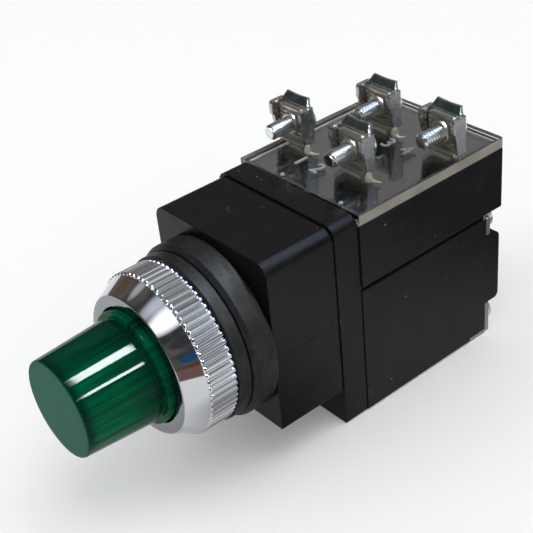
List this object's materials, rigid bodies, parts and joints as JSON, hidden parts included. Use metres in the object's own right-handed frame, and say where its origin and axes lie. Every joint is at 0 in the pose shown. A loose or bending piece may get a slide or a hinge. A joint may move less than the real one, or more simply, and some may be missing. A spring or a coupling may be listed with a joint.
{
  "type": "illuminated push button",
  "caption": "Panel push button with a long lit green lens, fluted chrome ring, black body, transformer block under a clear cover with screw terminals, and a contact block.",
  "frame": {"origin": "on the button axis, on the front face of the body, where the panel is clamped", "axes": "+Y along the button axis towards the terminals, -Y towards the lens, +Z towards the clear terminal cover"},
  "size_m": [0.0388, 0.1056, 0.0613],
  "materials": {
    "lens_green": "translucent emerald acrylic, glossy side, satin front",
    "holder_black": "moulded black nylon",
    "spring_steel": "drawn spring wire",
    "lamp_glass": "clear blown glass",
    "lamp_metal": "nickelled brass shell",
    "socket_black": "moulded black phenolic",
    "contact_brass": "plain brass",
    "ring_chrome": "mirror chrome with a fluted band",
    "gasket_rubber": "scuffed matte black rubber",
    "body_black": "glossy black moulding with fine scratches",
    "rear_black": "semi-gloss black phenolic moulding",
    "zinc_plated": "bright zinc plate",
    "terminal_zinc": "zinc plate with yellow and violet tints",
    "cover_clear": "clear moulded cover",
    "core_steel": "varnished laminations",
    "winding_copper": "enamelled copper wire under tape",
    "former_nylon": "natural nylon"
  },
  "bodies": {
    "case": {"adapter_plate": "body_black", "carriage_spring": "spring_steel", "case_screws": "zinc_plated", "coil_former": "former_nylon", "contact_cover": "rear_black", "contact_housing": "rear_black", "front_gasket": "gasket_rubber", "front_housing": "body_black", "lamp_base": "lamp_metal", "lamp_bulb": "lamp_glass", "lamp_socket": "socket_black", "long_screws": "zinc_plated", "primary_winding": "winding_copper", "rear_contact_1": "terminal_zinc", "rear_contact_2": "terminal_zinc", "rear_contact_3": "terminal_zinc", "rear_contact_4": "terminal_zinc", "rear_gasket": "gasket_rubber", "rear_screws": "zinc_plated", "rear_washers": "zinc_plated", "return_spring": "spring_steel", "saddle_clamp_1": "terminal_zinc", "saddle_clamp_2": "terminal_zinc", "saddle_clamp_3": "terminal_zinc", "saddle_clamp_4": "terminal_zinc", "secondary_winding": "winding_copper", "socket_contact": "contact_brass", "terminal_cover": "cover_clear", "terminal_post_1": "terminal_zinc", "terminal_post_2": "terminal_zinc", "terminal_post_3": "terminal_zinc", "terminal_post_4": "terminal_zinc", "terminal_screw_1": "zinc_plated", "terminal_screw_2": "zinc_plated", "terminal_screw_3": "zinc_plated", "terminal_screw_4": "zinc_plated", "transformer_base": "former_nylon", "transformer_core": "core_steel", "transformer_housing": "rear_black"},
    "ring": {"bezel_ring": "ring_chrome"},
    "button": {"lens_cap": "lens_green", "lens_holder": "holder_black"},
    "carriage": {"contact_carriage": "former_nylon", "bridge_closed": "contact_brass", "bridge_open": "contact_brass", "bridge_springs": "spring_steel"}
  },
  "joints": [
    {"name": "button_press", "type": "slide", "parent": "case", "child": "button", "axis": [0, 1, 0], "range_m": [0, 0.004], "stiffness_N_per_m": 800, "springref_m": -0.003, "deforming": ["return_spring"]},
    {"name": "contact_slide", "type": "slide", "parent": "case", "child": "carriage", "axis": [0, 1, 0], "range_m": [0, 0.004], "stiffness_N_per_m": 300, "springref_m": -0.002, "deforming": ["carriage_spring"]},
    {"name": "ring_turn", "type": "hinge", "parent": "case", "child": "ring", "pos_m": [0, 0, 0], "axis": [0, 1, 0], "continuous": true}
  ],
  "couplings": [
    {"joint": "contact_slide", "follows": "button_press", "ratio": 1}
  ]
}
